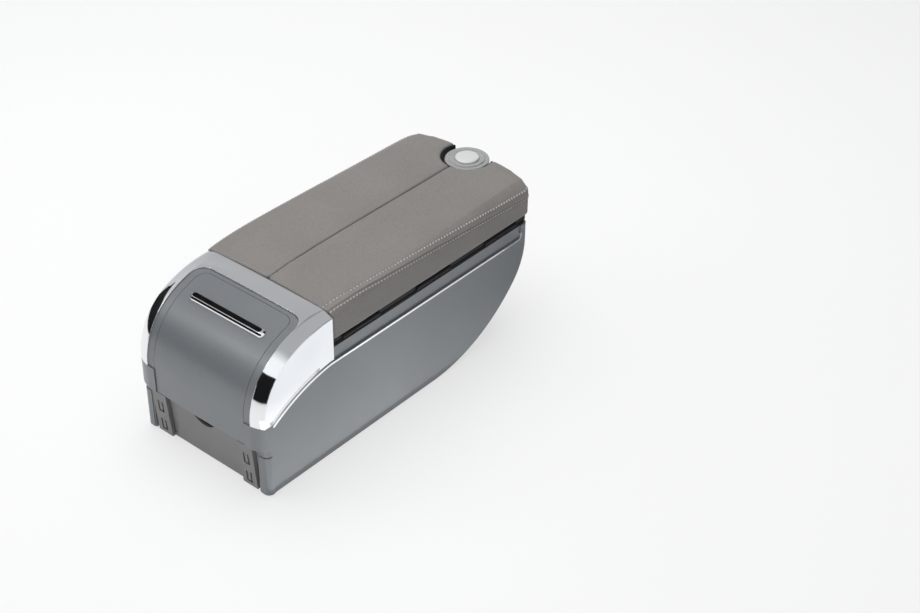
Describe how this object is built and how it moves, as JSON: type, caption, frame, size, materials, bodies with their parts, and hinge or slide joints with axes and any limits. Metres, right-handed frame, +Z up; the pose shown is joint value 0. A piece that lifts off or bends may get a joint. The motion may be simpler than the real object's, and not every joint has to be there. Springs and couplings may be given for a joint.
{
  "type": "car centre armrest",
  "caption": "Car centre armrest box with two padded side-opening lids, a round release button, a chrome-hooded near end and a pull-out cup drawer.",
  "frame": {"origin": "centre of the underside: midway between both sides and both ends, at the plane the box stands on", "axes": "+Y along the box from the chrome-hooded cup drawer end to the round button end, +X to the right seen from the drawer end towards the button, +Z up"},
  "size_m": [0.1418, 0.3425, 0.1419],
  "materials": {
    "grey_plastic": "satin, fine grain",
    "black_plastic": "matt, fine grain",
    "dark_plastic": "satin",
    "chrome": "polished plating",
    "leather": "fine grain, satin",
    "ring_grey": "semi-gloss",
    "silver_paint": "satin silver",
    "steel": "zinc plated",
    "white_acetal": "natural moulded"
  },
  "bodies": {
    "housing": {"body_shell": "grey_plastic", "chrome_hood": "chrome", "side_strip_right": "chrome", "side_strip_left": "chrome", "end_plate": "dark_plastic", "bottom_plate": "black_plastic", "bottom_screws": "steel", "storage_tray": "black_plastic", "drawer_guide": "black_plastic", "guide_screws": "steel", "hinge_pins_right": "steel", "hinge_pins_left": "steel", "button_tower": "black_plastic", "button_ring": "ring_grey", "tower_screws": "steel", "button_spring": "steel"},
    "drawer": {"drawer_front": "grey_plastic", "drawer_bar": "chrome", "drawer_tray": "black_plastic", "drawer_screws": "steel"},
    "lid_right": {"lid_board_right": "black_plastic", "lid_pad_right": "leather"},
    "lid_left": {"lid_board_left": "black_plastic", "lid_pad_left": "leather"},
    "button": {"button_cap": "silver_paint", "button_plunger": "white_acetal"},
    "bolt_left": {"latch_bolt_left": "white_acetal"},
    "bolt_right": {"latch_bolt_right": "white_acetal"}
  },
  "joints": [
    {"name": "drawer_slide", "type": "slide", "parent": "housing", "child": "drawer", "axis": [0, -1, 0], "range_m": [0, 0.105]},
    {"name": "lid_right_hinge", "type": "hinge", "parent": "housing", "child": "lid_right", "pos_m": [0.0668, 0, 0.1052], "axis": [0, 1, 0], "range_deg": [0, 90]},
    {"name": "lid_left_hinge", "type": "hinge", "parent": "housing", "child": "lid_left", "pos_m": [-0.0668, 0, 0.1052], "axis": [0, -1, 0], "range_deg": [0, 90]},
    {"name": "button_press", "type": "slide", "parent": "housing", "child": "button", "axis": [0, 0, -1], "range_m": [0, 0.003], "stiffness_N_per_m": 600, "springref_m": -0.002, "deforming": ["button_spring"]},
    {"name": "bolt_left_slide", "type": "slide", "parent": "housing", "child": "bolt_left", "axis": [1, 0, 0], "range_m": [0, 0.003]},
    {"name": "bolt_right_slide", "type": "slide", "parent": "housing", "child": "bolt_right", "axis": [-1, 0, 0], "range_m": [0, 0.003]}
  ],
  "couplings": [
    {"joint": "bolt_left_slide", "follows": "button_press", "ratio": 1},
    {"joint": "bolt_right_slide", "follows": "button_press", "ratio": 1}
  ]
}
